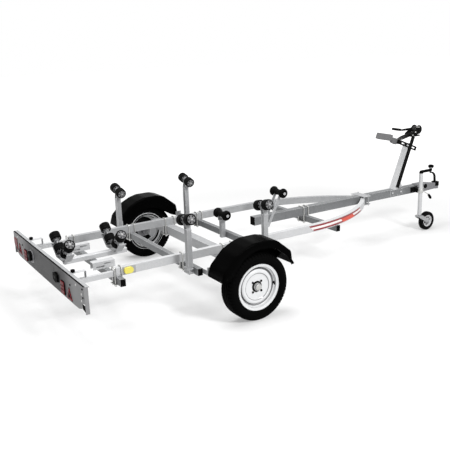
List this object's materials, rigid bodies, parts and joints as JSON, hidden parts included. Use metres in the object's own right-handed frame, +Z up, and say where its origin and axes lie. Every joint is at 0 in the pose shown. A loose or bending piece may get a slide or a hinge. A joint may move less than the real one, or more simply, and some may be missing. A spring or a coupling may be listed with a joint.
{
  "type": "boat trailer",
  "caption": "Single-axle galvanised trailer that carries a small boat on keel and side rollers, with a winch post, jockey wheel and light board.",
  "frame": {"origin": "on the ground, under the middle of the overall length and width", "axes": "+X forward to the coupling, +Y to the left, +Z up"},
  "size_m": [4.448, 2.0902, 1.131],
  "materials": {
    "galvanised": "hot-dip galvanised, matt spangle",
    "black_plastic": "matt black moulding",
    "black_paint": "black coated steel",
    "fender_black": "black moulded plastic, slight sheen",
    "roller_rubber": "black moulded rubber",
    "tyre": "black tyre rubber",
    "rim_white": "off-white gloss paint",
    "board_grey": "mid grey, satin",
    "lens_red": "red ribbed lens",
    "lens_amber": "amber lens",
    "webbing": "black woven webbing",
    "grey_rubber": "grey rubber"
  },
  "bodies": {
    "chassis": {"axle": "galvanised", "coupling_head": "galvanised", "coupling_lever": "black_paint", "crossmembers": "galvanised", "drawbar": "galvanised", "u_bolts": "galvanised", "fender_brackets": "galvanised", "fender_left": "fender_black", "fender_right": "fender_black", "plate_lamps": "black_plastic", "keel_roller_mounts": "galvanised", "jockey_clamp": "black_paint", "keel_beam": "galvanised", "keel_cradles": "galvanised", "light_board": "board_grey", "light_board_arms": "galvanised", "light_board_knobs": "black_plastic", "clamp_plates": "galvanised", "rail_left": "galvanised", "rail_right": "galvanised", "side_markers": "lens_amber", "side_posts": "galvanised", "slotted_brackets": "galvanised", "tail_lamps": "lens_red", "triangle_reflectors": "lens_red", "tube_plugs": "black_plastic", "winch_post": "galvanised", "winch_stand": "black_paint", "winch_strap": "webbing", "bow_stop_arm": "black_paint", "bow_stop": "grey_rubber"},
    "wheel_left": {"hub_left": "galvanised", "rim_left": "rim_white", "tyre_left": "tyre"},
    "wheel_right": {"hub_right": "galvanised", "rim_right": "rim_white", "tyre_right": "tyre"},
    "jockey_tube": {"jockey_tube": "galvanised"},
    "jockey_leg": {"jockey_leg": "galvanised"},
    "jockey_fork": {"jockey_fork": "galvanised"},
    "jockey_wheel": {"jockey_wheel": "roller_rubber"},
    "winch_drum": {"winch_drum": "black_paint"},
    "keel_roller_front": {"keel_roller_front": "roller_rubber"},
    "keel_roller_mid": {"keel_roller_mid": "roller_rubber"},
    "keel_rollers_mid_left": {"keel_rollers_mid_left": "roller_rubber"},
    "keel_rollers_mid_right": {"keel_rollers_mid_right": "roller_rubber"},
    "keel_rollers_rear_left": {"keel_rollers_rear_left": "roller_rubber"},
    "keel_rollers_rear_right": {"keel_rollers_rear_right": "roller_rubber"},
    "side_rollers_front_left": {"side_rollers_front_left": "roller_rubber"},
    "side_rollers_front_right": {"side_rollers_front_right": "roller_rubber"},
    "side_rollers_rear_left": {"side_rollers_rear_left": "roller_rubber"},
    "side_rollers_rear_right": {"side_rollers_rear_right": "roller_rubber"}
  },
  "joints": [
    {"name": "wheel_left_spin", "type": "hinge", "parent": "chassis", "child": "wheel_left", "pos_m": [-0.902, 0.9665, 0.264], "axis": [0, 1, 0], "continuous": true},
    {"name": "wheel_right_spin", "type": "hinge", "parent": "chassis", "child": "wheel_right", "pos_m": [-0.902, -0.9665, 0.264], "axis": [0, 1, 0], "continuous": true},
    {"name": "jockey_clamp_slide", "type": "slide", "parent": "chassis", "child": "jockey_tube", "axis": [0, 0, 1], "range_m": [0, 0.12]},
    {"name": "jockey_leg_wind", "type": "slide", "parent": "jockey_tube", "child": "jockey_leg", "axis": [0, 0, 1], "range_m": [-0.15, 0]},
    {"name": "jockey_swivel", "type": "hinge", "parent": "jockey_leg", "child": "jockey_fork", "pos_m": [1.826, -0.12, 0.165], "axis": [0, 0, 1], "continuous": true},
    {"name": "jockey_wheel_spin", "type": "hinge", "parent": "jockey_fork", "child": "jockey_wheel", "pos_m": [1.937, -0.12, 0.1], "axis": [0, 1, 0], "continuous": true},
    {"name": "winch_drum_turn", "type": "hinge", "parent": "chassis", "child": "winch_drum", "pos_m": [1.854, 0, 1.08503], "axis": [0, 1, 0], "continuous": true},
    {"name": "side_rollers_rear_left_spin", "type": "hinge", "parent": "chassis", "child": "side_rollers_rear_left", "pos_m": [-1.287, 0.64, 0.77795], "axis": [0, 0.9744, 0.225], "continuous": true},
    {"name": "side_rollers_rear_right_spin", "type": "hinge", "parent": "chassis", "child": "side_rollers_rear_right", "pos_m": [-1.287, -0.64, 0.77795], "axis": [0, 0.9744, -0.225], "continuous": true},
    {"name": "side_rollers_front_left_spin", "type": "hinge", "parent": "chassis", "child": "side_rollers_front_left", "pos_m": [-0.58, 0.64, 0.77795], "axis": [0, 0.9744, 0.225], "continuous": true},
    {"name": "side_rollers_front_right_spin", "type": "hinge", "parent": "chassis", "child": "side_rollers_front_right", "pos_m": [-0.58, -0.64, 0.77795], "axis": [0, 0.9744, -0.225], "continuous": true},
    {"name": "keel_rollers_rear_left_spin", "type": "hinge", "parent": "chassis", "child": "keel_rollers_rear_left", "pos_m": [-2.048, 0.118, 0.56], "axis": [0, 0.766, 0.6428], "continuous": true},
    {"name": "keel_rollers_rear_right_spin", "type": "hinge", "parent": "chassis", "child": "keel_rollers_rear_right", "pos_m": [-2.048, -0.118, 0.56], "axis": [0, 0.766, -0.6428], "continuous": true},
    {"name": "keel_rollers_mid_left_spin", "type": "hinge", "parent": "chassis", "child": "keel_rollers_mid_left", "pos_m": [-1.623, 0.118, 0.56], "axis": [0, 0.766, 0.6428], "continuous": true},
    {"name": "keel_rollers_mid_right_spin", "type": "hinge", "parent": "chassis", "child": "keel_rollers_mid_right", "pos_m": [-1.623, -0.118, 0.56], "axis": [0, 0.766, -0.6428], "continuous": true},
    {"name": "keel_roller_mid_spin", "type": "hinge", "parent": "chassis", "child": "keel_roller_mid", "pos_m": [-0.58, 0, 0.57], "axis": [0, 1, 0], "continuous": true},
    {"name": "keel_roller_front_spin", "type": "hinge", "parent": "chassis", "child": "keel_roller_front", "pos_m": [0.046, 0, 0.677], "axis": [0, 1, 0], "continuous": true}
  ]
}
